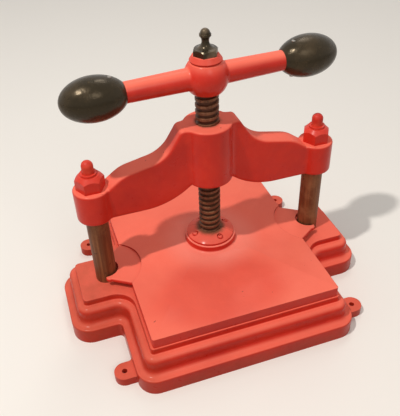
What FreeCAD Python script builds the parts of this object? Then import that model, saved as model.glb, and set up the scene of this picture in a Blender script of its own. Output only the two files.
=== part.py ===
import FreeCAD, Part
import os
import re
import Sketcher

# Screw book press in cast iron: hollow base, two columns, arched yoke, forked platen,
# square-threaded screw and a two-armed handle with egg knobs.
# Frame: X runs along the yoke, the front is -Y, +Z is up, and the origin is on the floor
# below the screw axis. All sizes are millimetres.

SIZES = {
    "column_spacing": 310.0,
    "column_diameter": 29.2,
    "column_height": 108.0,
    "stud_diameter": 15.0,
    "stud_clearance": 0.25,
    "stud_dome": 6.5,
    "upper_stud_length": 84.5,
    "lower_stud_length": 52.0,
    "nut_width": 32.5,
    "nut_height": 20.0,
    "nut_crown_radius": 12.5,
    "nut_ring_radius": 10.5,
    "nut_ring_height": 2.8,
    "base_washer_radius": 19.0,
    "base_washer_height": 3.0,
    "bed_width": 260.0,
    "bed_depth": 296.0,
    "wing_span": 389.0,
    "wing_depth": 78.0,
    "base_height": 60.0,
    "plinth_height": 24.0,
    "step_height": 50.5,
    "plinth_margin": 21.5,
    "step_margin": 10.5,
    "bed_corner": 4.0,
    "wing_corner": 6.0,
    "inner_corner": 28.0,
    "plinth_edge_radius": 2.5,
    "cove_radius": 8.0,
    "shoulder_radius": 8.0,
    "riser_foot_radius": 1.5,
    "bed_edge_radius": 1.2,
    "ear_spacing_x": 329.0,
    "ear_spacing_y": 260.0,
    "ear_radius": 13.5,
    "ear_height": 12.5,
    "ear_neck_radius": 5.0,
    "ear_hole_radius": 3.5,
    "base_wall": 9.0,
    "bed_thickness": 11.0,
    "rib_thickness": 7.0,
    "rib_floor_gap": 6.0,
    "seat_boss_radius": 23.0,
    "seat_boss_height": 30.0,
    "yoke_boss_radius": 23.5,
    "yoke_boss_height": 45.0,
    "yoke_rim_radius": 3.0,
    "arm_thickness": 29.0,
    "arm_edge_radius": 3.5,
    "hub_sweep_radius": 13.0,
    "boss_sweep_radius": 11.0,
    "sweep_bite": 0.8,
    "arm_shoulder_run": 6.0,
    "arm_shoulder_radius": 8.0,
    "arm_waist_run": 22.0,
    "arm_waist_rise": 71.0,
    "arm_waist_radius": 45.0,
    "arm_knee_run": 20.0,
    "arm_knee_rise": 59.5,
    "arm_knee_radius": 45.0,
    "arch_foot": 54.0,
    "arch_radius": 97.0,
    "arch_rise": 42.0,
    "hub_radius": 32.0,
    "hub_clearance_height": 24.0,
    "hub_height": 82.0,
    "platen_gap": 3.0,
    "platen_edge": 15.0,
    "platen_crown": 11.0,
    "platen_corner": 3.0,
    "table_width": 80.0,
    "table_depth": 79.0,
    "platen_boss_radius": 35.5,
    "platen_boss_height": 9.5,
    "platen_boss_fillet": 3.5,
    "platen_boss_rim": 1.5,
    "lug_radius": 50.0,
    "lug_thickness": 6.5,
    "lug_rise": -1.0,
    "lug_reach": 3.0,
    "lug_mouth": 40.0,
    "lug_tip": 24.0,
    "lug_taper_run": 24.0,
    "lug_tip_radius": 5.5,
    "lug_edge_radius": 2.5,
    "fork_gap": 3.0,
    "collar_radius": 33.0,
    "collar_rim": 3.0,
    "collar_height": 9.5,
    "collar_top_radius": 19.0,
    "collar_split": 0.4,
    "collar_turn": -31.0,
    "collar_screw_circle": 25.0,
    "collar_screw_radius": 2.5,
    "collar_head_radius": 4.0,
    "collar_head_height": 4.0,
    "collar_seat_height": 5.2,
    "collar_screw_depth": 12.0,
    "collar_slot_width": 0.9,
    "collar_slot_depth": 0.8,
    "thrust_pad_height": 4.0,
    "thrust_pad_radius": 12.5,
    "flange_radius": 12.8,
    "flange_height": 5.6,
    "socket_radius": 13.4,
    "neck_radius": 9.0,
    "turning_gap": 0.4,
    "screw_diameter": 29.6,
    "screw_pitch": 8.4667,
    "thread_depth": 2.8,
    "thread_root_width": 3.8,
    "thread_flank_slope": 0.26,
    "thread_length": 210.3,
    "yoke_bore_gap": 0.4,
    "tenon_width": 17.0,
    "tenon_height": 44.0,
    "tenon_gap": 0.1,
    "top_stud_radius": 5.5,
    "top_stud_length": 8.5,
    "handle_turn": 3.2,
    "ball_radius": 27.0,
    "ball_rise": 18.5,
    "handle_hub_height": 37.8,
    "arm_root_radius": 4.0,
    "handle_length": 270.0,
    "grip_radius_inner": 14.0,
    "grip_radius_outer": 12.5,
    "knob_length": 80.0,
    "knob_radius": 26.2,
    "knob_tenon_radius": 8.0,
    "knob_tenon_length": 46.0,
    "knob_pin_radius": 2.6,
    "knob_pin_inset": 15.0,
    "knob_pin_proud": 1.0,
    "cap_radius": 19.7,
    "cap_top_radius": 16.0,
    "cap_side_height": 2.2,
    "cap_height": 7.7,
    "cap_groove": 0.9,
    "finial_width": 27.0,
    "finial_hex_height": 7.5,
    "finial_crown_inset": 0.3,
    "finial_flare_inset": 0.5,
    "finial_hollow_reach": 13.0,
    "finial_waist_radius": 4.4,
    "finial_waist_height": 15.6,
    "finial_ring_radius": 7.0,
    "finial_ring_height": 23.1,
    "finial_ball_radius": 5.8,
    "finial_ball_rise": 0.6,
}

# Heights and reaches that several pieces share.
LEVELS = {
    "platen_top": "base_height + platen_edge + platen_crown + platen_boss_height",
    "collar_top": "platen_top + collar_height",
    "thread_foot": "collar_top + turning_gap",
    "hub_seat": "thread_foot + thread_length",
    "cap_seat": "hub_seat + handle_hub_height",
    "finial_seat": "cap_seat + cap_height",
    "ball_level": "hub_seat + ball_rise",
    "yoke_foot": "base_height + column_height",
    "nut_seat": "yoke_foot + yoke_boss_height",
    "flange_top": "platen_top - turning_gap",
    "pad_foot": "flange_top - flange_height - thrust_pad_height",
    "shoulder_x": "hub_radius + arm_shoulder_run",
    "toe_x": "column_spacing / 2 - yoke_boss_radius + arm_edge_radius",
}

EAR_CENTRES = [("-ear_spacing_x / 2", "-ear_spacing_y / 2"),
               ("ear_spacing_x / 2", "-ear_spacing_y / 2"),
               ("ear_spacing_x / 2", "ear_spacing_y / 2"),
               ("-ear_spacing_x / 2", "ear_spacing_y / 2")]
COLUMN_CENTRES = [("-column_spacing / 2", "0"), ("column_spacing / 2", "0")]

doc = FreeCAD.newDocument("BookPress")
sizes = doc.addObject("Spreadsheet::Sheet", "Sizes")


def fill_sheet():
    row = 1
    for name, value in SIZES.items():
        sizes.set("A%d" % row, name)
        sizes.set("B%d" % row, str(value))
        sizes.setAlias("B%d" % row, name)
        row += 1
    for name, formula in LEVELS.items():
        sizes.set("A%d" % row, name)
        sizes.set("B%d" % row, "=" + formula)
        sizes.setAlias("B%d" % row, name)
        row += 1
    doc.recompute()


def bound(text):
    """Point each size name in a formula at its cell."""
    def point(match):
        word = match.group(0)
        if word in SIZES or word in LEVELS:
            return "Sizes." + word
        return word
    return re.sub(r"[a-z_]+", point, text)


def number(text):
    return float(sizes.evalExpression(bound(text)))


def make_body(label, x="0", z="0", turn=None):
    body = doc.addObject("PartDesign::Body", label)
    body.Label = label
    body.setExpression("Placement.Base.x", bound(x))
    body.setExpression("Placement.Base.z", bound(z))
    if turn is not None:
        body.Placement.Rotation = FreeCAD.Rotation(FreeCAD.Vector(0, 0, 1), 1)
        body.setExpression("Placement.Rotation.Angle", bound(turn))
    return body


def make_sketch(body, name, role="XY_Plane", level="0"):
    sketch = body.newObject("Sketcher::SketchObject", name)
    plane = [item for item in body.Origin.OriginFeatures if item.Role == role][0]
    sketch.AttachmentSupport = [(plane, "")]
    sketch.MapMode = "FlatFace"
    sketch.setExpression("AttachmentOffset.Base.z", bound(level))
    return sketch


def tie(sketch, kind, geometry, point, formula):
    index = sketch.addConstraint(Sketcher.Constraint(kind, geometry, point, number(formula)))
    sketch.setExpression("Constraints[%d]" % index, bound(formula))


def draw_outline(sketch, corners, arcs=None):
    """Closed outline through the corners. arcs maps a side's number to the place of its centre
    across the sketch, and to 1 if it bulges to the right of its way or -1 if to the left."""
    arcs = arcs or {}
    spots = [FreeCAD.Vector(number(x), number(y), 0) for x, y in corners]
    count = len(spots)
    first = sketch.GeometryCount
    for side in range(count):
        start = spots[side]
        end = spots[(side + 1) % count]
        if side in arcs:
            sketch.addGeometry(arc_between(start, end, number(arcs[side][0]), arcs[side][1]))
        else:
            sketch.addGeometry(Part.LineSegment(start, end))
    starts = [2 if side in arcs and arcs[side][1] < 0 else 1 for side in range(count)]
    for side in range(count):
        following = (side + 1) % count
        sketch.addConstraint(Sketcher.Constraint(
            "Coincident", first + side, 3 - starts[side], first + following, starts[following]))
        tie(sketch, "DistanceX", first + side, starts[side], corners[side][0])
        tie(sketch, "DistanceY", first + side, starts[side], corners[side][1])
        if side in arcs:
            tie(sketch, "DistanceX", first + side, 3, arcs[side][0])
    doc.recompute()


def arc_between(start, end, centre_x, swell):
    """Arc through two points about a centre whose first coordinate is given."""
    half = (end - start) * 0.5
    middle = start + half
    across = FreeCAD.Vector(half.y, -half.x, 0).normalize()
    centre = middle + across * ((centre_x - middle.x) / across.x)
    radius = (start - centre).Length
    return Part.Arc(start, centre + across * swell * radius, end)


def draw_circles(sketch, centres, radius):
    """Equal circles at the given places."""
    for x, y in centres:
        place = FreeCAD.Vector(number(x), number(y), 0)
        circle = sketch.addGeometry(
            Part.Circle(place, FreeCAD.Vector(0, 0, 1), number(radius)))
        tie(sketch, "DistanceX", circle, 3, x)
        tie(sketch, "DistanceY", circle, 3, y)
        index = sketch.addConstraint(Sketcher.Constraint("Radius", circle, number(radius)))
        sketch.setExpression("Constraints[%d]" % index, bound(radius))
    doc.recompute()


def cut_up(body, name, sketch, length):
    """Pocket upward from a sketch, which must take something away."""
    before = body.Shape.Volume
    feature = body.newObject("PartDesign::Pocket", name)
    feature.Profile = sketch
    feature.Reversed = True
    feature.setExpression("Length", bound(length))
    doc.recompute()
    if body.Shape.Volume > before - 1:
        raise RuntimeError(name + " cuts nothing")
    return feature


def pad(body, name, sketch, length, midplane=False):
    feature = body.newObject("PartDesign::Pad", name)
    feature.Profile = sketch
    feature.Midplane = midplane
    feature.setExpression("Length", bound(length))
    doc.recompute()
    return feature


def revolve(body, name, sketch, axis="V_Axis", kind="PartDesign::Revolution"):
    feature = body.newObject(kind, name)
    feature.Profile = sketch
    feature.ReferenceAxis = (sketch, [axis])
    feature.Angle = 360
    doc.recompute()
    return feature


def primitive(body, kind, name, measures, x="0", y="0", z="0", along=None):
    """Additive or subtractive solid, laid along X when asked."""
    feature = body.newObject("PartDesign::" + kind, name)
    if along == "x":
        turned = FreeCAD.Rotation(FreeCAD.Vector(0, 1, 0), 90)
        feature.Placement = FreeCAD.Placement(FreeCAD.Vector(), turned)
    for key, formula in measures.items():
        feature.setExpression(key, bound(formula))
    feature.setExpression("Placement.Base.x", bound(x))
    feature.setExpression("Placement.Base.y", bound(y))
    feature.setExpression("Placement.Base.z", bound(z))
    doc.recompute()
    return feature


def pick_edges(body, wanted):
    """Names of the edges of the newest shape whose bounding box passes the test."""
    names = []
    for index, edge in enumerate(body.Tip.Shape.Edges):
        if wanted(edge):
            names.append("Edge%d" % (index + 1))
    return names


def fillet(body, name, wanted, radius):
    base = body.Tip
    edges = pick_edges(body, wanted)
    feature = body.newObject("PartDesign::Fillet", name)
    feature.Base = (base, edges)
    feature.setExpression("Radius", bound(radius))
    doc.recompute()
    body.Tip = feature
    return feature


def near(first, second):
    return abs(first - second) < 0.01


def upright_at(x, y):
    """Test for upright edges at the four places (x, y) with either sign."""
    def wanted(edge):
        box = edge.BoundBox
        if box.XLength > 0.01 or box.YLength > 0.01:
            return False
        return near(abs(box.XMin), number(x)) and near(abs(box.YMin), number(y))
    return wanted


def level_loop(level, inside=None, outside=None):
    """Test for edges that lie flat at a level, inside or outside a half-span pair."""
    def wanted(edge):
        box = edge.BoundBox
        if not (near(box.ZMin, number(level)) and near(box.ZMax, number(level))):
            return False
        centre = edge.CenterOfMass
        if inside is not None and outside_cross(centre, inside):
            return False
        if outside is not None and not outside_cross(centre, outside):
            return False
        return True
    return wanted


def outside_cross(point, margin):
    """True where a point is outside the bed's cross shape grown by the margin."""
    x = abs(point.x)
    y = abs(point.y)
    grown = number(margin)
    corner = number("inner_corner")
    half_width = number("bed_width / 2") + grown
    half_depth = number("bed_depth / 2") + grown
    wing_x = number("wing_span / 2") + grown
    wing_y = number("wing_depth / 2") + grown
    in_block = x < half_width and y < half_depth
    in_wing = x < wing_x and y < wing_y
    in_corner = x < half_width + corner / 3 and y < wing_y + corner / 3
    return not (in_block or in_wing or in_corner)


def cross_corners(margin):
    """Corners of the bed's cross-shaped plan, grown by a margin."""
    a = "bed_width / 2 + (%s)" % margin
    b = "bed_depth / 2 + (%s)" % margin
    c = "wing_span / 2 + (%s)" % margin
    d = "wing_depth / 2 + (%s)" % margin
    right = [(a, "-(%s)" % b), (a, "-(%s)" % d), (c, "-(%s)" % d), (c, d), (a, d), (a, b)]
    left = [("-(%s)" % x, y) for x, y in reversed(right)]
    return right + left


def cross_layer(body, name, margin, foot, height):
    """One layer of the base's moulding, with its plan corners rounded."""
    sketch = make_sketch(body, name + "Outline", level=foot)
    draw_outline(sketch, cross_corners(margin))
    pad(body, name, sketch, height)
    a = "bed_width / 2 + " + margin
    b = "bed_depth / 2 + " + margin
    c = "wing_span / 2 + " + margin
    d = "wing_depth / 2 + " + margin
    fillet(body, name + "BedCorners", upright_at(a, b), "bed_corner + " + margin)
    fillet(body, name + "WingCorners", upright_at(c, d), "wing_corner + " + margin)
    fillet(body, name + "InnerCorners", upright_at(a, d), "inner_corner - " + margin)


def make_base():
    body = make_body("base_casting")
    cross_layer(body, "Plinth", "plinth_margin", "0", "plinth_height")
    cross_layer(body, "Step", "step_margin", "plinth_height", "step_height - plinth_height")
    cross_layer(body, "Riser", "0", "step_height", "base_height - step_height")
    plinth_rim = level_loop("plinth_height", outside="plinth_margin - 1")
    fillet(body, "PlinthEdge", plinth_rim, "plinth_edge_radius")
    cove_foot = level_loop("plinth_height", inside="step_margin + 1")
    fillet(body, "Cove", cove_foot, "cove_radius")
    shoulder_rim = level_loop("step_height", outside="step_margin - 1")
    fillet(body, "Shoulder", shoulder_rim, "shoulder_radius")
    riser_foot = level_loop("step_height", inside="1")
    fillet(body, "RiserFoot", riser_foot, "riser_foot_radius")
    fillet(body, "BedEdge", level_loop("base_height"), "bed_edge_radius")
    add_ears(body)
    hollow_base(body)
    return body


def add_ears(body):
    """Four drilled ears that screw the base to a bench."""
    webs = make_sketch(body, "EarWebs")
    for side in (-1, 1):
        centre = "%d * ear_spacing_y / 2" % side
        draw_outline(webs, [("-ear_spacing_x / 2", centre + " - ear_radius"),
                            ("ear_spacing_x / 2", centre + " - ear_radius"),
                            ("ear_spacing_x / 2", centre + " + ear_radius"),
                            ("-ear_spacing_x / 2", centre + " + ear_radius")])
    pad(body, "EarTabs", webs, "ear_height")
    ends = make_sketch(body, "EarEnds")
    draw_circles(ends, EAR_CENTRES, "ear_radius")
    pad(body, "EarRounds", ends, "ear_height")
    wall = number("bed_width / 2 + plinth_margin")
    top = number("ear_height")
    inner = number("ear_spacing_y / 2 - ear_radius")

    def neck(edge):
        box = edge.BoundBox
        if box.XLength > 0.01 or box.YLength > 0.01 or not near(box.ZMax, top):
            return False
        return near(abs(box.XMin), wall) and near(abs(box.YMin), inner)
    fillet(body, "EarNecks", neck, "ear_neck_radius")
    holes = make_sketch(body, "EarHoleCentres")
    draw_circles(holes, EAR_CENTRES, "ear_hole_radius")
    cut_up(body, "EarHoles", holes, "ear_height")


def hollow_base(body):
    """Open underside with a cross of ribs and a drilled seat boss below each column."""
    roof = "base_height - bed_thickness"
    cavity = make_sketch(body, "CavityOutline")
    draw_outline(cavity, cross_corners("step_margin - base_wall"))
    cut_up(body, "Cavity", cavity, roof)
    rib_height = roof + " - rib_floor_gap"
    primitive(body, "AdditiveBox", "CrossRib",
              {"Length": "column_spacing", "Width": "rib_thickness", "Height": rib_height},
              x="-column_spacing / 2", y="-rib_thickness / 2", z="rib_floor_gap")
    inner_depth = "bed_depth + 2 * step_margin - base_wall"
    primitive(body, "AdditiveBox", "LongRib",
              {"Length": "rib_thickness", "Width": inner_depth, "Height": rib_height},
              x="-rib_thickness / 2", y="-(%s) / 2" % inner_depth, z="rib_floor_gap")
    room = make_sketch(body, "NutRoomCentres")
    draw_circles(room, COLUMN_CENTRES, "seat_boss_radius")
    cut_up(body, "NutRooms", room, "seat_boss_height")
    bosses = make_sketch(body, "SeatBossCentres", level="seat_boss_height")
    draw_circles(bosses, COLUMN_CENTRES, "seat_boss_radius")
    pad(body, "SeatBosses", bosses, roof + " - seat_boss_height")
    holes = make_sketch(body, "ColumnHoleCentres", level="seat_boss_height")
    draw_circles(holes, COLUMN_CENTRES, "stud_diameter / 2 + stud_clearance")
    cut_up(body, "ColumnHoles", holes, "base_height - seat_boss_height")


def make_column(label, side):
    """Turned column: a shoulder on the bed, a shoulder under the yoke, a stud at each end."""
    body = make_body(label, x="%d * column_spacing / 2" % side, z="base_height")
    sketch = make_sketch(body, "Profile", role="XZ_Plane")
    stud = "stud_diameter / 2"
    shaft = "column_diameter / 2"
    crown = "column_height + upper_stud_length"
    corners = [("0", "-lower_stud_length"), (stud, "-lower_stud_length"), (stud, "0"),
               (shaft, "0"), (shaft, "column_height"), (stud, "column_height"),
               (stud, crown + " - stud_dome"), ("0", crown)]
    draw_outline(sketch, corners, {6: ("0", 1)})
    revolve(body, "Turned", sketch)
    return body


def make_nut(label, side, seat, crowned):
    """Hexagon nut with a turned crown; the nuts on the yoke have a ring on the crown."""
    body = make_body(label, x="%d * column_spacing / 2" % side, z=seat)
    primitive(body, "AdditivePrism", "Hexagon",
              {"Circumradius": "nut_width / sqrt(3)", "Height": "nut_height"})
    if crowned:
        turn_corners(body, "nut_width", "nut_crown_radius", "nut_height", 1)
    else:
        turn_corners(body, "nut_width", "nut_crown_radius", "0", -1)
    if crowned:
        primitive(body, "AdditiveCylinder", "Ring",
                  {"Radius": "nut_ring_radius", "Height": "nut_ring_height"}, z="nut_height")
    primitive(body, "SubtractiveCylinder", "Bore",
              {"Radius": "stud_diameter / 2", "Height": "nut_height + nut_ring_height"})
    return body


def turn_corners(body, width, crown, level, way):
    """Turn a hexagon's corners to a cone at its upper end (way 1) or its lower end (way -1)."""
    rim = width + " / sqrt(3) + 1"
    sketch = make_sketch(body, "CornerCut", role="XZ_Plane")
    draw_outline(sketch, [(crown, level), (rim, level),
                          (rim, "%s - %d * (%s - (%s))" % (level, way, rim, crown))])
    revolve(body, "Corners", sketch, kind="PartDesign::Groove")


def make_base_washer(label, side):
    body = make_body(label, x="%d * column_spacing / 2" % side,
                     z="seat_boss_height - base_washer_height")
    primitive(body, "AdditiveCylinder", "Disc",
              {"Radius": "base_washer_radius", "Height": "base_washer_height"})
    primitive(body, "SubtractiveCylinder", "Hole",
              {"Radius": "stud_diameter / 2 + stud_clearance", "Height": "base_washer_height"})
    return body


def make_yoke():
    """Arched crosshead: swept arms, a tall hub for the screw and a boss over each column."""
    body = make_body("yoke", z="yoke_foot")
    waist_x = "shoulder_x + arm_waist_run"
    knee_x = "toe_x - arm_knee_run"
    hub_top = "hub_clearance_height + hub_height"
    inner = "column_spacing / 2"
    right = [("shoulder_x", hub_top), (waist_x, "arm_waist_rise"), (knee_x, "arm_knee_rise"),
             ("toe_x", "yoke_boss_height"), (inner, "yoke_boss_height"), (inner, "0"),
             ("arch_foot", "0"), ("hub_radius / 4", "arch_rise")]
    left = [("-(%s)" % x, y) for x, y in reversed(right)]
    sketch = make_sketch(body, "ArmOutline", role="XZ_Plane")
    draw_outline(sketch, right + left)
    flank = "arm_thickness / 2"
    swept_half = "(%s + hub_sweep_radius) * hub_radius / (hub_radius + hub_sweep_radius)" % flank
    pad(body, "Arms", sketch, "2 * " + swept_half, midplane=True)

    def crease(x, z):
        def wanted(edge):
            box = edge.BoundBox
            if box.XLength > 0.01 or box.ZLength > 0.01:
                return False
            return near(abs(box.XMin), number(x)) and near(box.ZMin, number(z))
        return wanted
    fillet(body, "ArmShoulder", crease("shoulder_x", hub_top), "arm_shoulder_radius")
    fillet(body, "ArmWaist", crease(waist_x, "arm_waist_rise"), "arm_waist_radius")
    fillet(body, "ArmKnee", crease(knee_x, "arm_knee_rise"), "arm_knee_radius")
    fillet(body, "Arch", crease("arch_foot", "0"), "arch_radius")
    sweep_flanks(body, flank, swept_half, hub_top)
    inner_face = number(flank)
    outer_face = number(swept_half)

    def flank_edge(edge):
        box = edge.BoundBox
        nearest = min(abs(box.YMin), abs(box.YMax))
        return box.XLength > 0.01 and inner_face - 0.01 < nearest < outer_face - 0.01
    fillet(body, "ArmEdges", flank_edge, "arm_edge_radius")
    add_post(body, "Hub", "0", "hub_radius", "hub_clearance_height", hub_top)
    for side in (-1, 1):
        add_post(body, "Boss", "%d * column_spacing / 2" % side, "yoke_boss_radius", "0",
                 "yoke_boss_height")
    primitive(body, "SubtractiveCylinder", "ScrewBore",
              {"Radius": "screw_diameter / 2 + yoke_bore_gap", "Height": "hub_height"},
              z="hub_clearance_height")
    for side in (-1, 1):
        primitive(body, "SubtractiveCylinder", "ColumnBore",
                  {"Radius": "stud_diameter / 2 + stud_clearance", "Height": "yoke_boss_height"},
                  x="%d * column_spacing / 2" % side)
    return body


def sweep_flanks(body, flank, swept_half, height):
    """Cut the four flanks of the arms back to hollow sweeps that run into hub and bosses."""
    hub_reach = "sqrt((hub_radius + hub_sweep_radius) ^ 2 - (%s + hub_sweep_radius) ^ 2)" % flank
    boss_reach = ("sqrt((yoke_boss_radius + boss_sweep_radius) ^ 2"
                  " - (%s + boss_sweep_radius) ^ 2)" % flank)
    hub_edge = hub_reach + " * hub_radius / (hub_radius + hub_sweep_radius) - sweep_bite"
    hub_foot = hub_reach + " - sweep_bite"
    boss_foot = "column_spacing / 2 - %s + sweep_bite" % boss_reach
    boss_edge = boss_foot + (" + sqrt(boss_sweep_radius ^ 2"
                             " - (%s + boss_sweep_radius - %s) ^ 2)" % (flank, swept_half))
    clear = swept_half + " + 1"
    sketch = make_sketch(body, "FlankCuts")
    for side in (-1, 1):
        for face in (-1, 1):
            bulge = side * face
            corners = [(hub_edge, swept_half), (hub_foot, flank), (boss_foot, flank),
                       (boss_edge, swept_half), (boss_edge, clear), (hub_edge, clear)]
            placed = [("%d * (%s)" % (side, x), "%d * (%s)" % (face, y)) for x, y in corners]
            draw_outline(sketch, placed, {0: (placed[1][0], bulge), 2: (placed[2][0], bulge)})
    cut_up(body, "Flanks", sketch, height)


def add_post(body, name, x, radius, foot, top):
    """Upright round boss with a softened rim at each end."""
    sketch = make_sketch(body, name + "Profile", role="XZ_Plane")
    sketch.setExpression("AttachmentOffset.Base.x", bound(x))
    crown = radius + " - yoke_rim_radius"
    draw_outline(sketch, [("0", foot), (crown, foot), (radius, foot + " + yoke_rim_radius"),
                          (radius, top + " - yoke_rim_radius"), (crown, top), ("0", top)],
                 {1: (crown, 1), 3: (crown, 1)})
    revolve(body, name, sketch)


def make_platen():
    """Forked pressing plate: a shallow pyramid top, a screw boss and a lug at each column."""
    body = make_body("platen", z="base_height")
    half_width = "bed_width / 2 - platen_gap"
    half_depth = "bed_depth / 2 - platen_gap / 2"
    add_lugs(body, half_width)
    slab = make_sketch(body, "SlabOutline")
    draw_outline(slab, rectangle(half_width, half_depth))
    pad(body, "Slab", slab, "platen_edge")
    slope_foot = make_sketch(body, "SlopeFoot", level="platen_edge")
    draw_outline(slope_foot, rectangle(half_width, half_depth))
    slope_top = make_sketch(body, "SlopeTop", level="platen_edge + platen_crown")
    draw_outline(slope_top, rectangle("table_width / 2", "table_depth / 2"))
    slope = body.newObject("PartDesign::AdditiveLoft", "Slope")
    slope.Profile = slope_foot
    slope.Sections = [slope_top]
    slope.Ruled = True
    doc.recompute()
    fillet(body, "Corners", upright_at(half_width, half_depth), "platen_corner")
    cut_forks(body)
    boss_foot = "platen_edge + platen_crown"
    primitive(body, "AdditiveCylinder", "Boss",
              {"Radius": "platen_boss_radius", "Height": "platen_boss_height"}, z=boss_foot)
    fillet(body, "BossRim", level_loop(boss_foot + " + platen_boss_height"), "platen_boss_rim")
    fillet(body, "BossFoot", level_loop(boss_foot, inside="-bed_width / 4"),
           "platen_boss_fillet")
    socket_floor = "pad_foot - base_height"
    primitive(body, "SubtractiveCylinder", "Socket",
              {"Radius": "socket_radius", "Height": "platen_top - pad_foot"}, z=socket_floor)
    for turn in (45, 135, 225, 315):
        primitive(body, "SubtractiveCylinder", "ScrewHole",
                  {"Radius": "collar_screw_radius", "Height": "collar_screw_depth"},
                  x="collar_screw_circle * cos(%d + collar_turn)" % turn,
                  y="collar_screw_circle * sin(%d + collar_turn)" % turn,
                  z="platen_top - base_height - collar_screw_depth")
    return body


def rectangle(half_x, half_y):
    return [("-(%s)" % half_x, "-(%s)" % half_y), (half_x, "-(%s)" % half_y),
            (half_x, half_y), ("-(%s)" % half_x, half_y)]


def add_lugs(body, half_width):
    """Tapered lug that reaches past each column, with rounded edges."""
    top = "platen_edge + lug_rise"
    inner = half_width + " - 2 * lug_thickness"
    reach = "column_spacing / 2 + lug_reach"
    taper = half_width + " + lug_taper_run"
    sketch = make_sketch(body, "LugOutline", level=top + " - lug_thickness")
    for side in (-1, 1):
        right = [(inner, "-lug_mouth"), (half_width, "-lug_mouth"), (taper, "-lug_tip"),
                 (reach, "-lug_tip"), (reach, "lug_tip"), (taper, "lug_tip"),
                 (half_width, "lug_mouth"), (inner, "lug_mouth")]
        draw_outline(sketch, [("%d * (%s)" % (side, x), y) for x, y in right])
    pad(body, "Lugs", sketch, "lug_thickness")
    fillet(body, "LugTips", upright_at(reach, "lug_tip"), "lug_tip_radius")
    root = number(inner)

    def outer_edge(edge):
        box = edge.BoundBox
        return box.ZLength < 0.01 and max(abs(box.XMin), abs(box.XMax)) > root + 0.01
    fillet(body, "LugEdges", outer_edge, "lug_edge_radius")


def cut_forks(body):
    """Round flat at each column, with a fork that straddles it."""
    for side in (-1, 1):
        centre = "%d * column_spacing / 2" % side
        primitive(body, "SubtractiveCylinder", "LugFlat",
                  {"Radius": "lug_radius", "Height": "platen_crown"},
                  x=centre, z="platen_edge + lug_rise")
        primitive(body, "SubtractiveCylinder", "ForkSlot",
                  {"Radius": "column_diameter / 2 + fork_gap",
                   "Height": "platen_edge + platen_crown"}, x=centre)


def make_collar_half(label, turn):
    """Half of the split collar that holds the screw's flange down in the platen."""
    body = make_body(label, z="platen_top", turn=turn)
    bore = "neck_radius + turning_gap"
    sketch = make_sketch(body, "Profile", role="XZ_Plane")
    corners = [(bore, "0"), ("collar_radius", "0"), ("collar_radius", "collar_rim"),
               ("collar_top_radius", "collar_height"), (bore, "collar_height")]
    draw_outline(sketch, corners, {2: ("collar_top_radius / 2", 1)})
    revolve(body, "Turned", sketch)
    span = "2 * collar_radius + 2"
    primitive(body, "SubtractiveBox", "OtherHalf",
              {"Length": span, "Width": "collar_radius + 1 + collar_split / 2",
               "Height": "collar_height"},
              x="-collar_radius - 1", y="-collar_radius - 1")
    for angle in (45, 135):
        x = "collar_screw_circle * cos(%d)" % angle
        y = "collar_screw_circle * sin(%d)" % angle
        primitive(body, "SubtractiveCylinder", "ScrewHole",
                  {"Radius": "collar_screw_radius + stud_clearance", "Height": "collar_height"},
                  x=x, y=y)
        primitive(body, "SubtractiveCylinder", "HeadSeat",
                  {"Radius": "collar_head_radius + stud_clearance", "Height": "collar_height"},
                  x=x, y=y, z="collar_seat_height")
    return body


def make_collar_screws():
    """Four round-head slotted screws, kept together as one group."""
    body = make_body("collar_screws", z="platen_top", turn="collar_turn + 45")
    for turn in (0, 90, 180, 270):
        x = "collar_screw_circle * cos(%d)" % turn
        y = "collar_screw_circle * sin(%d)" % turn
        sketch = make_sketch(body, "Profile", role="XZ_Plane", level="-(%s)" % y)
        sketch.setExpression("AttachmentOffset.Base.x", bound(x))
        corners = [("0", "-collar_screw_depth"), ("collar_screw_radius", "-collar_screw_depth"),
                   ("collar_screw_radius", "collar_seat_height"),
                   ("collar_head_radius", "collar_seat_height"),
                   ("0", "collar_seat_height + collar_head_height")]
        draw_outline(sketch, corners, {3: ("0", 1)})
        revolve(body, "Screw", sketch)
        primitive(body, "SubtractiveBox", "Slot",
                  {"Length": "3 * collar_head_radius", "Width": "collar_slot_width",
                   "Height": "collar_head_height"},
                  x=x + " - 1.5 * collar_head_radius", y=y + " - collar_slot_width / 2",
                  z="collar_seat_height + collar_head_height - collar_slot_depth")
    return body


def make_thrust_pad():
    """Hardened disc at the bottom of the platen's socket, under the screw's flange."""
    body = make_body("thrust_pad", z="pad_foot")
    primitive(body, "AdditiveCylinder", "Disc",
              {"Radius": "thrust_pad_radius", "Height": "thrust_pad_height"})
    return body


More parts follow.
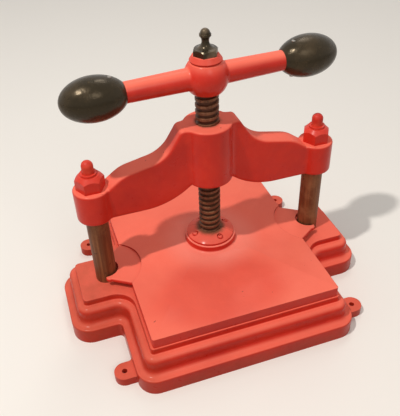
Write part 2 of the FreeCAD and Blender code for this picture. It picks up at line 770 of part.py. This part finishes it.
def make_screw():
    """Right-hand single-start screw with steep flanks, a trapped flange and a square head."""
    body = make_body("press_screw", z="thread_foot", turn="handle_turn")
    radius = "screw_diameter / 2"
    neck_foot = "flange_top - thread_foot"
    flange_foot = "flange_top - flange_height - thread_foot"
    sketch = make_sketch(body, "Profile", role="XZ_Plane")
    draw_outline(sketch, [("0", flange_foot), ("flange_radius", flange_foot),
                          ("flange_radius", neck_foot), ("neck_radius", neck_foot),
                          ("neck_radius", "0"), (radius, "0"), (radius, "thread_length"),
                          ("0", "thread_length")])
    revolve(body, "Shank", sketch)
    thread = make_sketch(body, "ThreadCut", role="XZ_Plane")
    root = "screw_diameter / 2 - thread_depth"
    outside = radius + " + 1"
    half_root = "thread_root_width / 2"
    half_mouth = half_root + " + thread_flank_slope * (thread_depth + 1)"
    draw_outline(thread, [(root, "-screw_pitch / 4 - " + half_root),
                          (outside, "-screw_pitch / 4 - (%s)" % half_mouth),
                          (outside, "-screw_pitch / 4 + " + half_mouth),
                          (root, "-screw_pitch / 4 + " + half_root)])
    helix = body.newObject("PartDesign::SubtractiveHelix", "Thread")
    helix.Profile = thread
    helix.ReferenceAxis = (thread, ["V_Axis"])
    helix.Mode = 0
    helix.setExpression("Pitch", bound("screw_pitch"))
    helix.setExpression("Height", bound("thread_length"))
    doc.recompute()
    body.Tip = helix
    primitive(body, "AdditiveBox", "Tenon",
              {"Length": "tenon_width", "Width": "tenon_width", "Height": "tenon_height"},
              x="-tenon_width / 2", y="-tenon_width / 2", z="thread_length")
    primitive(body, "AdditiveCylinder", "TopStud",
              {"Radius": "top_stud_radius",
               "Height": "handle_hub_height + cap_height + top_stud_length - tenon_height"},
              z="thread_length + tenon_height")
    return body


def make_handle():
    """Cast handle: a ball hub cut flat above and below, and two tapering arms."""
    body = make_body("handle", z="hub_seat", turn="handle_turn")
    sketch = make_sketch(body, "HubProfile", role="XZ_Plane")
    foot_radius = "sqrt(ball_radius ^ 2 - ball_rise ^ 2)"
    crown_radius = "sqrt(ball_radius ^ 2 - (handle_hub_height - ball_rise) ^ 2)"
    draw_outline(sketch, [("0", "0"), (foot_radius, "0"), ("ball_radius", "ball_rise"),
                          (crown_radius, "handle_hub_height"), ("0", "handle_hub_height")],
                 {1: ("0", 1), 2: ("0", 1)})
    revolve(body, "Hub", sketch)
    for side, name in ((-1, "Left"), (1, "Right")):
        arm = make_sketch(body, name + "ArmProfile", role="XZ_Plane")
        shoulder = knob_seat()
        tenon_end = shoulder + " + knob_tenon_length"
        upper = [("0", "ball_rise"), ("0", "ball_rise + grip_radius_inner"),
                 (shoulder, "ball_rise + grip_radius_outer"),
                 (shoulder, "ball_rise + knob_tenon_radius"),
                 (tenon_end, "ball_rise + knob_tenon_radius"), (tenon_end, "ball_rise")]
        draw_outline(arm, [("%d * (%s)" % (side, x), z) for x, z in upper])
        line = arm.addGeometry(Part.LineSegment(
            FreeCAD.Vector(-50, number("ball_rise"), 0),
            FreeCAD.Vector(50, number("ball_rise"), 0)), True)
        arm.addConstraint(Sketcher.Constraint("Horizontal", line))
        tie(arm, "DistanceY", line, 1, "ball_rise")
        revolve(body, name + "Arm", arm, axis="Axis0")
        primitive(body, "SubtractiveCylinder", name + "PinHole",
                  {"Radius": "knob_pin_radius", "Height": "4 * knob_tenon_radius"},
                  x="%d * (%s + knob_pin_inset)" % (side, shoulder),
                  z="ball_rise - 2 * knob_tenon_radius")
    reach = number("ball_radius")

    def arm_root(edge):
        box = edge.BoundBox
        inner = min(abs(box.XMin), abs(box.XMax))
        outer = max(abs(box.XMin), abs(box.XMax))
        return reach / 2 < inner and outer < reach and box.YLength > 0.01
    fillet(body, "ArmRoots", arm_root, "arm_root_radius")
    hole = "tenon_width + 2 * tenon_gap"
    primitive(body, "SubtractiveBox", "SquareHole",
              {"Length": hole, "Width": hole, "Height": "handle_hub_height"},
              x="-(%s) / 2" % hole, y="-(%s) / 2" % hole)
    return body


def knob_seat():
    """Distance from the axis to the flat where a knob meets its arm."""
    sag = "sqrt(1 - grip_radius_outer ^ 2 / knob_radius ^ 2)"
    return "(handle_length - knob_length * %s) / 2" % sag


def make_knob(label, side):
    """Egg knob pushed over the arm's tenon."""
    body = make_body(label, z="ball_level", turn="handle_turn")
    centre = "%d * handle_length / 2" % side
    egg = primitive(body, "AdditiveEllipsoid", "Egg",
                    {"Radius1": "knob_length / 2", "Radius2": "knob_radius",
                     "Radius3": "knob_radius"}, x=centre, along="x")
    egg.Angle1 = -90
    egg.Angle2 = 90
    egg.Angle3 = 360
    seat = knob_seat()
    size = "2 * knob_radius"
    foot = "-(%s)" % seat if side < 0 else "(%s) - knob_length" % seat
    primitive(body, "SubtractiveBox", "Seat",
              {"Length": "knob_length", "Width": size, "Height": size},
              x=foot, y="-knob_radius", z="-knob_radius")
    start = "-(%s) - knob_tenon_length" % seat if side < 0 else seat
    primitive(body, "SubtractiveCylinder", "TenonHole",
              {"Radius": "knob_tenon_radius", "Height": "knob_tenon_length"},
              x=start, along="x")
    primitive(body, "SubtractiveCylinder", "PinHole",
              {"Radius": "knob_pin_radius", "Height": "2 * knob_radius"},
              x="%d * (%s + knob_pin_inset)" % (side, seat), z="-knob_radius")
    return body


def make_knob_pin(label, side):
    """Pin driven through a knob and its tenon, left slightly proud below."""
    body = make_body(label, z="ball_level", turn="handle_turn")
    seat = knob_seat()
    offset = "(handle_length / 2 - (%s) - knob_pin_inset)" % seat
    half = "knob_radius * sqrt(1 - %s ^ 2 * 4 / knob_length ^ 2)" % offset
    primitive(body, "AdditiveCylinder", "Pin",
              {"Radius": "knob_pin_radius", "Height": "2 * (%s) + knob_pin_proud" % half},
              x="%d * (%s + knob_pin_inset)" % (side, seat), z="-(%s) - knob_pin_proud" % half)
    return body


def make_hub_cap():
    """Low cone between the handle and its nut, with a groove at its foot."""
    body = make_body("hub_cap", z="cap_seat", turn="handle_turn")
    sketch = make_sketch(body, "Profile", role="XZ_Plane")
    bore = "tenon_width * sqrt(2) / 2 + tenon_gap"
    groove = "cap_radius - cap_groove"
    draw_outline(sketch, [(bore, "0"), (groove, "0"), (groove, "cap_groove"),
                          ("cap_radius", "cap_groove * 2"), ("cap_radius", "cap_side_height"),
                          ("cap_top_radius", "cap_height"), (bore, "cap_height")])
    revolve(body, "Turned", sketch)
    return body


def make_finial_nut():
    """Hexagon nut drawn up into a turned finial that closes the top of the screw."""
    body = make_body("finial_nut", z="finial_seat", turn="handle_turn")
    primitive(body, "AdditivePrism", "Hexagon",
              {"Circumradius": "finial_width / sqrt(3)", "Height": "finial_hex_height"})
    turn_corners(body, "finial_width", "finial_width / 2 - finial_crown_inset",
                 "finial_hex_height", 1)
    sketch = make_sketch(body, "SpireProfile", role="XZ_Plane")
    ring_half = "finial_ring_radius / 6"
    ring_top = "finial_ring_height + " + ring_half
    ball_foot = "sqrt(finial_ball_radius ^ 2 - finial_ball_rise ^ 2)"
    flare = "finial_width / 2 - finial_flare_inset"
    draw_outline(sketch, [("0", "finial_hex_height / 2"), (flare, "finial_hex_height / 2"),
                          (flare, "finial_hex_height"),
                          ("finial_waist_radius", "finial_waist_height"),
                          ("finial_ring_radius", "finial_ring_height - " + ring_half),
                          ("finial_ring_radius", ring_top), (ball_foot, ring_top),
                          ("0", ring_top + " + finial_ball_rise + finial_ball_radius")],
                 {2: ("finial_hollow_reach", -1), 3: ("finial_waist_radius * 3", -1),
                  6: ("0", 1)})
    revolve(body, "Spire", sketch)
    primitive(body, "SubtractiveCylinder", "Bore",
              {"Radius": "top_stud_radius", "Height": "top_stud_length"}, z="0")
    return body


def check_document():
    """Stop where an object failed or a piece is empty or broken."""
    for item in doc.Objects:
        if "Invalid" in item.State or "Error" in item.State:
            raise RuntimeError("%s failed: %s" % (item.Name, item.State))
    for body in doc.Objects:
        if body.TypeId != "PartDesign::Body":
            continue
        if body.Shape.isNull() or not body.Shape.isValid():
            raise RuntimeError(body.Label + " has no sound shape")


def main():
    fill_sheet()
    pieces = [make_base(), make_yoke(), make_platen(), make_screw(), make_handle(),
              make_hub_cap(), make_finial_nut(), make_thrust_pad(), make_collar_screws(),
              make_collar_half("collar_half_rear", "collar_turn"),
              make_collar_half("collar_half_front", "collar_turn + 180")]
    for side, name in ((-1, "left"), (1, "right")):
        pieces.append(make_column("column_" + name, side))
        pieces.append(make_nut("column_nut_" + name, side, "nut_seat", True))
        pieces.append(make_nut("base_nut_" + name, side,
                               "seat_boss_height - base_washer_height - nut_height", False))
        pieces.append(make_base_washer("base_washer_" + name, side))
        pieces.append(make_knob("knob_" + name, side))
        pieces.append(make_knob_pin("knob_pin_" + name, side))
    doc.recompute()
    check_document()
    os.makedirs("parts", exist_ok=True)
    for piece in pieces:
        box = piece.Shape.BoundBox
        print("%-20s solids %d volume %9.0f  z %.1f to %.1f" % (
            piece.Label, len(piece.Shape.Solids), piece.Shape.Volume, box.ZMin, box.ZMax))
        piece.Shape.exportStep("parts/%s.step" % piece.Label)


main()
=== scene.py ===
import math
import bpy
from mathutils import Matrix, Vector


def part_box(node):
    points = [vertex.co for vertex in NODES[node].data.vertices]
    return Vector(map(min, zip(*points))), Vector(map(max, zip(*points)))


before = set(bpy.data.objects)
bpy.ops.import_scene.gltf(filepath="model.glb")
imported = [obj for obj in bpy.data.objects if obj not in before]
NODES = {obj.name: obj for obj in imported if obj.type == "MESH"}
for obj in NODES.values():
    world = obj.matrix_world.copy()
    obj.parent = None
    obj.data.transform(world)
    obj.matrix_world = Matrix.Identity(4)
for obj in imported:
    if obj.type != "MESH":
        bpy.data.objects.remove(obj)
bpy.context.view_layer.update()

# Red cast-iron screw book press on a pale floor. Metres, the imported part's own frame.


# ---- camera ---------------------------------------------------------------------------
CAMERA_PLACE = Vector((-0.20072, -0.59756, 0.63192))
CAMERA_AZIMUTH = math.radians(-17.3454)
CAMERA_ELEVATION = math.radians(38.1245)
CAMERA_ROLL = math.radians(-2.2686)
CAMERA_LENS = 50.036
SENSOR_WIDTH = 36.0


def direction(azimuth, elevation):
    """Unit vector from the press towards an azimuth and an elevation; azimuth 0 is the front."""
    return Vector((math.sin(azimuth) * math.cos(elevation),
                   -math.cos(azimuth) * math.cos(elevation),
                   math.sin(elevation)))


def make_camera():
    """Camera fitted to the photo, with its small roll."""
    back = direction(CAMERA_AZIMUTH, CAMERA_ELEVATION)
    level = (-back).cross(Vector((0, 0, 1))).normalized()
    upright = level.cross(-back)
    right = level * math.cos(CAMERA_ROLL) + upright * math.sin(CAMERA_ROLL)
    up = upright * math.cos(CAMERA_ROLL) - level * math.sin(CAMERA_ROLL)
    data = bpy.data.cameras.new("camera")
    data.lens = CAMERA_LENS
    data.sensor_width = SENSOR_WIDTH
    data.clip_start = 0.01
    camera = bpy.data.objects.new("camera", data)
    camera.matrix_world = Matrix((
        (right.x, up.x, back.x, CAMERA_PLACE.x),
        (right.y, up.y, back.y, CAMERA_PLACE.y),
        (right.z, up.z, back.z, CAMERA_PLACE.z),
        (0, 0, 0, 1)))
    bpy.context.scene.collection.objects.link(camera)
    bpy.context.scene.camera = camera


# ---- material helpers -----------------------------------------------------------------
class Graph:
    """A short way to write shader nodes."""

    def __init__(self, name):
        self.material = bpy.data.materials.new(name)
        self.material.use_nodes = True
        self.tree = self.material.node_tree
        self.tree.nodes.clear()
        self.out = self.node("ShaderNodeOutputMaterial")
        self.shader = self.node("ShaderNodeBsdfPrincipled")
        self.link(self.shader.outputs["BSDF"], self.out.inputs["Surface"])
        spots = self.node("ShaderNodeTexCoord")
        self.spot = spots.outputs["Object"]
        self.facing = spots.outputs["Normal"]

    def node(self, kind):
        return self.tree.nodes.new(kind)

    def link(self, source, socket):
        self.tree.links.new(source, socket)

    def put(self, socket, value):
        """Link a node's output to the socket, or set a number or a colour on it."""
        if hasattr(value, "is_output"):
            self.link(value, socket)
        elif hasattr(value, "__len__") and len(value) == 3 and len(socket.default_value) == 4:
            socket.default_value = (*value, 1.0)
        else:
            socket.default_value = value

    def noise(self, scale, detail, roughness, stretch=(1, 1, 1), distortion=0.0):
        """Noise over the object's own coordinates, stretched."""
        mapping = self.node("ShaderNodeMapping")
        self.link(self.spot, mapping.inputs["Vector"])
        mapping.inputs["Scale"].default_value = stretch
        noise = self.node("ShaderNodeTexNoise")
        self.link(mapping.outputs["Vector"], noise.inputs["Vector"])
        noise.inputs["Scale"].default_value = scale
        noise.inputs["Detail"].default_value = detail
        noise.inputs["Roughness"].default_value = roughness
        noise.inputs["Distortion"].default_value = distortion
        return noise.outputs["Fac"]

    def math(self, operation, first, second, clamp=False):
        step = self.node("ShaderNodeMath")
        step.operation = operation
        step.use_clamp = clamp
        self.put(step.inputs[0], first)
        self.put(step.inputs[1], second)
        return step.outputs[0]

    def times(self, first, second):
        return self.math("MULTIPLY", first, second)

    def plus(self, first, second, clamp=False):
        return self.math("ADD", first, second, clamp)

    def ramp(self, value, low, high, to_low=0.0, to_high=1.0):
        """Smooth step from low to high."""
        step = self.node("ShaderNodeMapRange")
        step.interpolation_type = "SMOOTHSTEP"
        self.put(step.inputs["Value"], value)
        step.inputs["From Min"].default_value = low
        step.inputs["From Max"].default_value = high
        step.inputs["To Min"].default_value = to_low
        step.inputs["To Max"].default_value = to_high
        return step.outputs["Result"]

    def mix(self, share, first, second):
        """First colour where the share is 0, second where it is 1."""
        mix = self.node("ShaderNodeMix")
        mix.data_type = "RGBA"
        self.put(mix.inputs[0], share)
        self.put(mix.inputs[6], first)
        self.put(mix.inputs[7], second)
        return mix.outputs[2]

    def axis(self, source, letter):
        split = self.node("ShaderNodeSeparateXYZ")
        self.link(source, split.inputs[0])
        return split.outputs[letter]

    def vector_step(self, operation, first, second):
        step = self.node("ShaderNodeVectorMath")
        step.operation = operation
        self.link(first, step.inputs[0])
        self.put(step.inputs[1], second)
        return step

    def from_point(self, centre, weights):
        """Distance from a point, with each axis weighted."""
        shift = self.vector_step("SUBTRACT", self.spot, centre)
        weighted = self.vector_step("MULTIPLY", shift.outputs[0], weights)
        length = self.node("ShaderNodeVectorMath")
        length.operation = "LENGTH"
        self.link(weighted.outputs[0], length.inputs[0])
        return length.outputs["Value"]

    def from_axis(self):
        """Distance from the screw's axis."""
        return self.from_point((0, 0, 0), (1, 1, 0))

    def crevice(self, distance):
        """1 deep in a corner, 0 in the open."""
        occlusion_shade = self.node("ShaderNodeAmbientOcclusion")
        occlusion_shade.samples = 6
        occlusion_shade.only_local = True
        occlusion_shade.inputs["Distance"].default_value = distance
        return self.math("SUBTRACT", 1.0, occlusion_shade.outputs["AO"], clamp=True)

    def bevel(self, radius):
        """Normal of a surface whose edges are rounded."""
        soft = self.node("ShaderNodeBevel")
        soft.samples = 4
        soft.inputs["Radius"].default_value = radius
        return soft.outputs["Normal"]

    def edge(self, radius):
        """1 on sharp outer and inner edges, 0 on flats."""
        geometry = self.node("ShaderNodeNewGeometry")
        match = self.vector_step("DOT_PRODUCT", self.bevel(radius), geometry.outputs["Normal"])
        return self.ramp(match.outputs["Value"], 0.995, 0.86)

    def bump(self, heights, radius):
        """Bumps laid one over the other, on rounded edges. heights: [(height, depth in m)]."""
        normal = self.bevel(radius)
        for height, depth in heights:
            bump = self.node("ShaderNodeBump")
            bump.inputs["Distance"].default_value = depth
            self.put(bump.inputs["Height"], height)
            self.link(normal, bump.inputs["Normal"])
            normal = bump.outputs["Normal"]
        self.link(normal, self.shader.inputs["Normal"])

    def set(self, **values):
        """Values of the main shader."""
        names = {"color": "Base Color", "metallic": "Metallic", "roughness": "Roughness",
                 "coat": "Coat Weight", "coat_roughness": "Coat Roughness",
                 "specular": "Specular IOR Level", "tint": "Specular Tint"}
        for key, value in values.items():
            self.put(self.shader.inputs[names[key]], value)


# ---- red enamel -----------------------------------------------------------------------
RED_DEEP = (0.55, 0.020, 0.011)
RED_FRESH = (0.69, 0.029, 0.014)
RED_FADED = (0.78, 0.078, 0.040)
# Dust on upward faces, paler with a painted sheen.
DUST_WITH_SHEEN = (0.91, 0.180, 0.118)
# Pale chalky dust, also used as a painted highlight along edges.
CHALK_AND_HIGHLIGHT = (0.88, 0.250, 0.190)
# Darker tone for the base towards its left end and its foot.
LOW_LEFT_DARK = (0.31, 0.060, 0.026)
GRIME = (0.15, 0.062, 0.030)
# Undercoat in chips, also used as painted shade in corners and creases.
UNDERCOAT_AND_SHADE = (0.10, 0.022, 0.014)

# The platen is wiped in front of the screw, and chalky round it.
WIPED_SPOT = (-0.02, -0.10, 0.08)
WIPED_WEIGHTS = (1.0, 1.5, 0)
WIPED_INNER = 0.05
WIPED_OUTER = 0.12
CHALK_INNER = 0.042
CHALK_OUTER = 0.080

# The base darkens in streaks from these places to its left side and down to its foot.
DARK_STARTS_LEFT = -0.08
DARK_FULL_LEFT = -0.17
DARK_STARTS_LOW = 0.030
DARK_FULL_LOW = 0.004
DARK_SHARE = 0.45


def red_ground(g, fine):
    """Red in clouds, with small faded spots."""
    clouds = g.noise(11.0, 4.0, 0.6)
    color = g.mix(g.ramp(clouds, 0.3, 0.7), RED_DEEP, RED_FRESH)
    return g.mix(g.ramp(fine, 0.45, 0.8, to_high=0.20), color, RED_FADED)


# Share of that darkening, towards the left end and the foot, in streaks.
def low_left_dark_share(g):
    leftward = g.ramp(g.axis(g.spot, "X"), DARK_STARTS_LEFT, DARK_FULL_LEFT, to_high=DARK_SHARE)
    downward = g.ramp(g.axis(g.spot, "Z"), DARK_STARTS_LOW, DARK_FULL_LOW, to_high=DARK_SHARE)
    streaky = g.ramp(g.noise(26.0, 5.0, 0.65), 0.3, 0.65, to_low=0.45)
    return g.times(g.math("MAXIMUM", leftward, downward), streaky)


def oil_share(g, inner, outer):
    """1 inside the inner radius and 0 outside the outer one, with a ragged rim."""
    ragged = g.plus(g.from_axis(), g.times(g.noise(150.0, 4.0, 0.7), 0.006))
    return g.ramp(ragged, outer, inner)


def chip_share(g):
    """Small chips, in a few places only."""
    chips = g.ramp(g.noise(140.0, 2.0, 0.5), 0.75, 0.77)
    places = g.ramp(g.noise(9.0, 1.0, 0.5), 0.55, 0.62)
    return g.times(g.times(chips, places), 0.7)


def enamel(name, dust_and_sheen, grime=None, edge_wear_and_highlight=0.35, wiped=False, darkened_low_left=False, gloss=0.12):
    """Old red gloss enamel over cast iron, with painted shade in corners and creases.
    dust_and_sheen is the share of dust film and painted sheen on upward faces, grime the inner
    and outer radius of the oil round the screw, and edge_wear_and_highlight the share of rubbed
    paint and painted highlight on edges."""
    g = Graph(name)
    fine = g.noise(90.0, 5.0, 0.65)
    color = red_ground(g, fine)
    # Dust with painted sheen: upward faces turn a paler salmon red.
    upward = g.ramp(g.axis(g.facing, "Z"), 0.30, 0.92)
    drifts = g.noise(7.0, 5.0, 0.6, distortion=0.6)
    dust_sheen_share = g.times(upward, g.ramp(drifts, 0.3, 0.68, 0.8 * dust_and_sheen, dust_and_sheen))
    if wiped:
        apart = g.ramp(g.from_point(WIPED_SPOT, WIPED_WEIGHTS), WIPED_INNER, WIPED_OUTER)
        dust_sheen_share = g.times(dust_sheen_share, g.ramp(apart, 0.0, 1.0, to_low=0.60))
    color = g.mix(dust_sheen_share, color, DUST_WITH_SHEEN)
    if wiped:
        chalky = g.ramp(g.from_axis(), CHALK_OUTER, CHALK_INNER, to_high=0.6)
        color = g.mix(g.times(chalky, upward), color, CHALK_AND_HIGHLIGHT)
    if darkened_low_left:
        color = g.mix(low_left_dark_share(g), color, LOW_LEFT_DARK)
    # Painted shade: corners and creases darkened from ambient occlusion.
    occlusion_shade = g.ramp(g.crevice(0.004), 0.35, 0.95, to_high=0.35)
    color = g.mix(occlusion_shade, color, UNDERCOAT_AND_SHADE)
    # Painted highlight with rubbed paint: pale colour along edges, in patches.
    worn = g.times(g.edge(0.0012), g.ramp(g.noise(60.0, 4.0, 0.7), 0.5, 0.72))
    color = g.mix(g.times(worn, edge_wear_and_highlight), color, CHALK_AND_HIGHLIGHT)
    color = g.mix(chip_share(g), color, UNDERCOAT_AND_SHADE)
    dull = g.plus(g.ramp(fine, 0.3, 0.7, to_high=0.10), g.times(dust_sheen_share, 0.6))
    if grime:
        oil = oil_share(g, *grime)
        color = g.mix(g.times(oil, 0.92), color, GRIME)
        dull = g.plus(dull, g.times(oil, 0.2))
    g.set(color=color, roughness=g.plus(dull, 0.27, clamp=True), coat=gloss,
          coat_roughness=0.18, specular=0.14 if darkened_low_left else 0.22)
    orange_peel = g.noise(330.0, 2.0, 0.5)
    cast_waves = g.noise(45.0, 3.0, 0.5)
    g.bump([(cast_waves, 0.0007), (orange_peel, 0.00012)], radius=0.0014)
    return g.material


# ---- brown and plain steel ------------------------------------------------------------
STEEL_TAN = (0.30, 0.135, 0.060)
STEEL_STAIN = (0.055, 0.022, 0.012)
THREAD_SHADE = (0.085, 0.026, 0.012)
CREST_BARE = (0.36, 0.18, 0.10)
STEEL_BRIGHT = (0.34, 0.32, 0.29)
STEEL_RUST = (0.16, 0.065, 0.03)
PATINA_METAL = 0.30

SCREW_LOW, SCREW_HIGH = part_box("press_screw")
SCREW_RADIUS = (SCREW_HIGH[0] - SCREW_LOW[0]) / 2
THREAD_ROOT = SCREW_RADIUS - 0.0028
THREAD_CREST = SCREW_RADIUS - 0.0004
PAINT_EDGE = 0.0002
PAINT_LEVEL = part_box("column_nut_left")[0][2] - PAINT_EDGE


def patina(name, dark, light, stretch):
    """Brown oiled steel with streaks: gives the graph and its colour so far."""
    g = Graph(name)
    streaks = g.noise(260.0, 5.0, 0.6, stretch=stretch)
    clouds = g.noise(38.0, 4.0, 0.6)
    color = g.mix(g.ramp(streaks, 0.35, 0.68), dark, light)
    color = g.mix(g.ramp(clouds, 0.5, 0.72, to_high=0.65), color, STEEL_TAN)
    stains = g.ramp(g.noise(120.0, 3.0, 0.6), 0.62, 0.70)
    color = g.mix(g.times(stains, 0.7), color, STEEL_STAIN)
    g.set(roughness=g.plus(g.ramp(clouds, 0.3, 0.7, to_high=0.16), 0.42), specular=0.30)
    g.bump([(streaks, 0.00018), (clouds, 0.0004)], radius=0.0006)
    return g, color


def column_steel(name):
    """Streaked along the column, with red paint on the stud above the yoke."""
    g, color = patina(name, (0.135, 0.042, 0.016), (0.25, 0.095, 0.036), (1, 1, 0.04))
    painted = g.ramp(g.axis(g.spot, "Z"), PAINT_LEVEL - PAINT_EDGE, PAINT_LEVEL + PAINT_EDGE)
    paint = g.mix(g.ramp(g.noise(38.0, 4.0, 0.6), 0.35, 0.7), RED_DEEP, RED_FADED)
    g.set(color=g.mix(painted, color, paint),
          metallic=g.times(g.math("SUBTRACT", 1.0, painted), PATINA_METAL))
    return g.material


def thread_steel(name):
    """Dark in the thread's groove, rubbed bare along its crest."""
    g, color = patina(name, (0.125, 0.044, 0.020), (0.21, 0.090, 0.046), (1, 1, 0.6))
    outward = g.ramp(g.from_axis(), THREAD_ROOT, THREAD_CREST)
    color = g.mix(outward, THREAD_SHADE, color)
    crest = g.times(g.edge(0.0006), outward)
    g.set(color=g.mix(g.times(crest, 0.35), color, CREST_BARE), metallic=PATINA_METAL)
    return g.material


def plain_steel(name):
    """Unpainted machined steel with light rust."""
    g = Graph(name)
    rust = g.ramp(g.noise(70.0, 5.0, 0.65), 0.48, 0.66)
    rings = g.noise(500.0, 2.0, 0.5, stretch=(0.1, 0.1, 1))
    g.set(color=g.mix(rust, STEEL_BRIGHT, STEEL_RUST), metallic=0.85,
          roughness=g.ramp(rust, 0.0, 1.0, 0.34, 0.72))
    g.bump([(rings, 0.0001), (rust, 0.0001)], radius=0.0005)
    return g.material


# ---- black enamel ---------------------------------------------------------------------
BLACK_DEEP = (0.016, 0.0120, 0.0065)
BLACK_WORN = (0.072, 0.048, 0.026)
BLACK_BARE = (0.190, 0.145, 0.100)
BLACK_SPECK = (0.085, 0.060, 0.028)
BLACK_EDGE = (0.13, 0.085, 0.04)
WARM_SHEEN = (1.0, 0.80, 0.56)


def japan(name, worn, brown, dents):
    """Black gloss enamel, worn brown, slightly dented."""
    g = Graph(name)
    clouds = g.noise(34.0, 5.0, 0.62)
    specks = g.noise(210.0, 3.0, 0.6)
    color = g.mix(g.ramp(clouds, 0.42, 0.72, to_high=brown), BLACK_DEEP, worn)
    color = g.mix(g.ramp(specks, 0.62, 0.75, to_high=0.45), color, BLACK_SPECK)
    color = g.mix(g.times(g.edge(0.0008), 0.35), color, BLACK_EDGE)
    g.set(color=color, roughness=g.ramp(clouds, 0.3, 0.75, 0.20, 0.34), specular=0.38,
          tint=WARM_SHEEN)
    g.bump([(g.noise(55.0, 3.0, 0.5), dents), (specks, 0.00022)], radius=0.0008)
    return g.material


# ---- what each node wears -------------------------------------------------------------
def dress(material, *names):
    for name in names:
        slots = NODES[name].data.materials
        slots.clear()
        slots.append(material)


def dress_all():
    dress(enamel("enamel_base", dust_and_sheen=0.80, darkened_low_left=True), "base_casting")
    dress(enamel("enamel_platen", dust_and_sheen=1.0, grime=(0.024, 0.032), edge_wear_and_highlight=0.7, wiped=True), "platen")
    dress(enamel("enamel_yoke", dust_and_sheen=0.90, grime=(0.0155, 0.023)), "yoke")
    dress(enamel("enamel_collar", dust_and_sheen=0.60, grime=(0.019, 0.027)),
          "collar_half_front", "collar_half_rear", "collar_screws")
    dress(enamel("enamel_handle", dust_and_sheen=1.0, gloss=0.2), "handle")
    dress(enamel("enamel_cap", dust_and_sheen=1.0), "hub_cap")
    dress(enamel("enamel_nuts", dust_and_sheen=0.15, edge_wear_and_highlight=0.4), "column_nut_left", "column_nut_right")
    dress(column_steel("steel_columns"), "column_left", "column_right")
    dress(thread_steel("steel_screw"), "press_screw")
    dress(japan("black_knobs", BLACK_WORN, brown=0.5, dents=0.0008), "knob_left", "knob_right")
    dress(japan("black_finial", BLACK_BARE, brown=0.9, dents=0.0003), "finial_nut")
    dress(plain_steel("steel_plain"), "base_nut_left", "base_nut_right", "base_washer_left",
          "base_washer_right", "thrust_pad", "knob_pin_left", "knob_pin_right")


# ---- floor, light ---------------------------------------------------------------------
FLOOR_SEEN = (0.86, 0.84, 0.81)
FLOOR_BOUNCE = (0.36, 0.25, 0.15)
FLOOR_HALF = 6.0
AMBIENT_COLOR = (1.0, 0.97, 0.93, 1)
AMBIENT_LEVEL = 0.40
BACKDROP_COLOR = (1.0, 0.985, 0.965, 1)
BACKDROP_LEVEL = 0.9
LAMP_COLOR = (1.0, 0.95, 0.88)
LAMP_AIM = Vector((0, 0, 0.15))


def shown_to_eye(tree):
    """1 for camera, glossy and transmission rays, 0 for the light that falls on things."""
    path = tree.nodes.new("ShaderNodeLightPath")
    total = path.outputs["Is Camera Ray"]
    for name in ("Is Glossy Ray", "Is Transmission Ray"):
        step = tree.nodes.new("ShaderNodeMath")
        step.operation = "MAXIMUM"
        tree.links.new(total, step.inputs[0])
        tree.links.new(path.outputs[name], step.inputs[1])
        total = step.outputs[0]
    return total


def make_floor():
    """Pale floor that sends back the warm, dimmer light of a wooden one."""
    mesh = bpy.data.meshes.new("floor")
    mesh.from_pydata([(-FLOOR_HALF, -FLOOR_HALF, 0), (FLOOR_HALF, -FLOOR_HALF, 0),
                      (FLOOR_HALF, FLOOR_HALF, 0), (-FLOOR_HALF, FLOOR_HALF, 0)],
                     [], [(0, 1, 2, 3)])
    floor = bpy.data.objects.new("floor", mesh)
    bpy.context.scene.collection.objects.link(floor)
    g = Graph("floor_pale")
    g.set(color=g.mix(shown_to_eye(g.tree), FLOOR_BOUNCE, FLOOR_SEEN), roughness=0.75,
          specular=0.2)
    mesh.materials.append(g.material)


def background(tree, color, level):
    shader = tree.nodes.new("ShaderNodeBackground")
    shader.inputs["Color"].default_value = color
    shader.inputs["Strength"].default_value = level
    return shader.outputs[0]


def make_world():
    """Even light on the press, and a nearly white backdrop to the eye."""
    world = bpy.data.worlds.new("studio")
    bpy.context.scene.world = world
    world.use_nodes = True
    tree = world.node_tree
    tree.nodes.clear()
    out = tree.nodes.new("ShaderNodeOutputWorld")
    mix = tree.nodes.new("ShaderNodeMixShader")
    tree.links.new(shown_to_eye(tree), mix.inputs[0])
    tree.links.new(background(tree, AMBIENT_COLOR, AMBIENT_LEVEL), mix.inputs[1])
    tree.links.new(background(tree, BACKDROP_COLOR, BACKDROP_LEVEL), mix.inputs[2])
    tree.links.new(mix.outputs[0], out.inputs["Surface"])


def make_lamp(name, azimuth, elevation, distance, size, power):
    """Round soft light aimed at the press from a direction in degrees."""
    back = direction(math.radians(azimuth), math.radians(elevation))
    data = bpy.data.lights.new(name, "AREA")
    data.shape = "DISK"
    data.size = size
    data.energy = power
    data.color = LAMP_COLOR
    lamp = bpy.data.objects.new(name, data)
    lamp.location = LAMP_AIM + back * distance
    lamp.rotation_mode = "QUATERNION"
    lamp.rotation_quaternion = (-back).to_track_quat("-Z", "Y")
    bpy.context.scene.collection.objects.link(lamp)


make_camera()
dress_all()
make_floor()
make_world()
make_lamp("key", azimuth=-70, elevation=64, distance=2.4, size=0.09, power=34)
make_lamp("front", azimuth=7, elevation=44, distance=2.6, size=1.0, power=9)
make_lamp("rear", azimuth=150, elevation=60, distance=2.6, size=0.8, power=8)
bpy.context.scene.view_settings.view_transform = "Standard"
